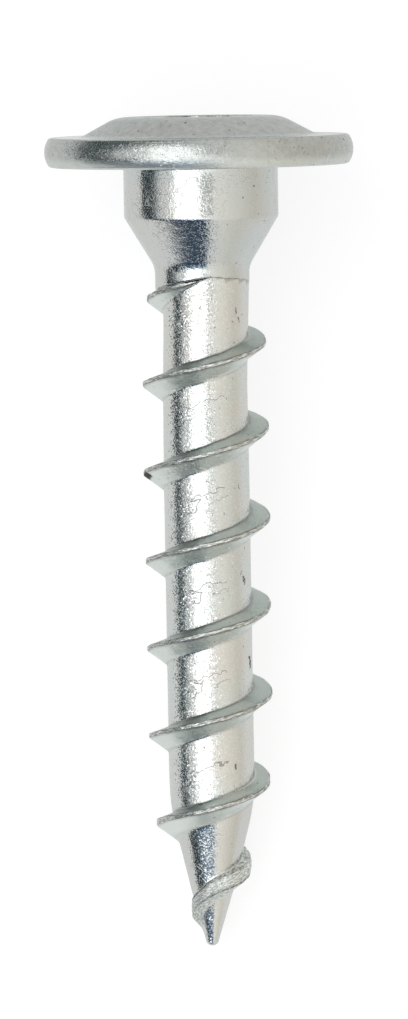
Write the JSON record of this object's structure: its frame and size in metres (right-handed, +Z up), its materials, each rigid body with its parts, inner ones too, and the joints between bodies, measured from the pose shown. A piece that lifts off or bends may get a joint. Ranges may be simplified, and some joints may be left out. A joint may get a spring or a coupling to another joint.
{
  "type": "connector screw",
  "caption": "One-piece timber connector screw with a wide flange head, six-lobe socket, centring collar tapering to the neck, coarse right-hand thread and plain point.",
  "frame": {"origin": "centre of the screw's footprint on the floor it lies on", "axes": "+Y along the floor from the point towards the head, +Z up, +X to the right seen from above with the head at the top; the screw's own axis lies in the YZ plane and rises 8.5 degrees from the point to the head"},
  "size_m": [0.0196, 0.0532, 0.0194],
  "materials": {
    "zinc_plate": "bright zinc plate over rolled steel, with a fine grain"
  },
  "bodies": {
    "root": {"screw": "zinc_plate"}
  },
  "joints": []
}
